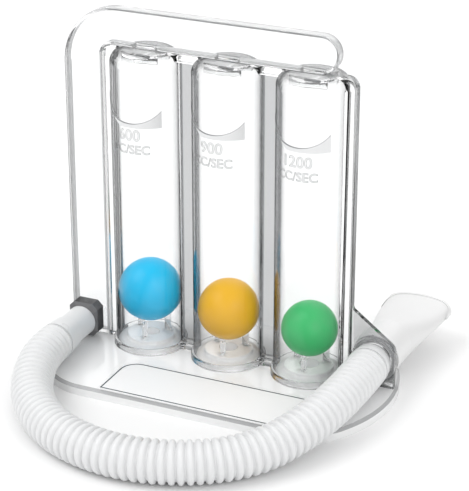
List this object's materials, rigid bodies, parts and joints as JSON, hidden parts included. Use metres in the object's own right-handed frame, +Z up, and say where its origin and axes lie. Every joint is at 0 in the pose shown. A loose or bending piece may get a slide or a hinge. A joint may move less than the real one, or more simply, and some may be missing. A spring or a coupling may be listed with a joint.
{
  "type": "incentive spirometer",
  "caption": "Free-standing flow exerciser for breathing: clear tubes with balls that rise, a flat air duct, a corrugated hose and an oval mouthpiece, on a flat base.",
  "frame": {"origin": "middle of the base's underside, without the hose and what is on it", "axes": "+Z up along the tubes, +X towards the hose holder, +Y towards the back, where the mouthpiece points"},
  "size_m": [0.1411, 0.1571, 0.139],
  "materials": {
    "clear_body": "clear polished styrene",
    "clear_duct": "clear polished styrene",
    "clear_base": "clear polished styrene",
    "clear_seat": "clear polished styrene",
    "blank_label": "white printed film",
    "blue_ball": "smooth satin moulded",
    "yellow_ball": "smooth satin moulded",
    "green_ball": "smooth satin moulded",
    "dark_port": "fine moulded grain",
    "gasket": "matt",
    "white_hose": "translucent soft moulded",
    "white_cuff": "translucent soft moulded",
    "white_mouthpiece": "satin moulded"
  },
  "bodies": {
    "stand": {"base_plate": "clear_base", "label_panel": "blank_label", "front_shell": "clear_body", "rear_shell": "clear_body", "front_duct": "clear_duct", "rear_duct": "clear_duct", "left_inlet_seat": "clear_seat", "middle_inlet_seat": "clear_seat", "right_inlet_seat": "clear_seat", "port_gasket": "gasket", "port_block": "dark_port", "port_cuff": "white_cuff", "hose": "white_hose", "holder_cuff": "white_cuff"},
    "left_ball": {"left_ball": "blue_ball"},
    "middle_ball": {"middle_ball": "yellow_ball"},
    "right_ball": {"right_ball": "green_ball"},
    "mouthpiece": {"mouthpiece": "white_mouthpiece"}
  },
  "joints": [
    {"name": "left_ball_rise", "type": "slide", "parent": "stand", "child": "left_ball", "axis": [0, 0, 1], "range_m": [0, 0.082]},
    {"name": "middle_ball_rise", "type": "slide", "parent": "stand", "child": "middle_ball", "axis": [0, 0, 1], "range_m": [0, 0.0845]},
    {"name": "right_ball_rise", "type": "slide", "parent": "stand", "child": "right_ball", "axis": [0, 0, 1], "range_m": [0, 0.0873]},
    {"name": "mouthpiece_pull", "type": "slide", "parent": "stand", "child": "mouthpiece", "axis": [0, 1, 0], "range_m": [0, 0.02]}
  ]
}
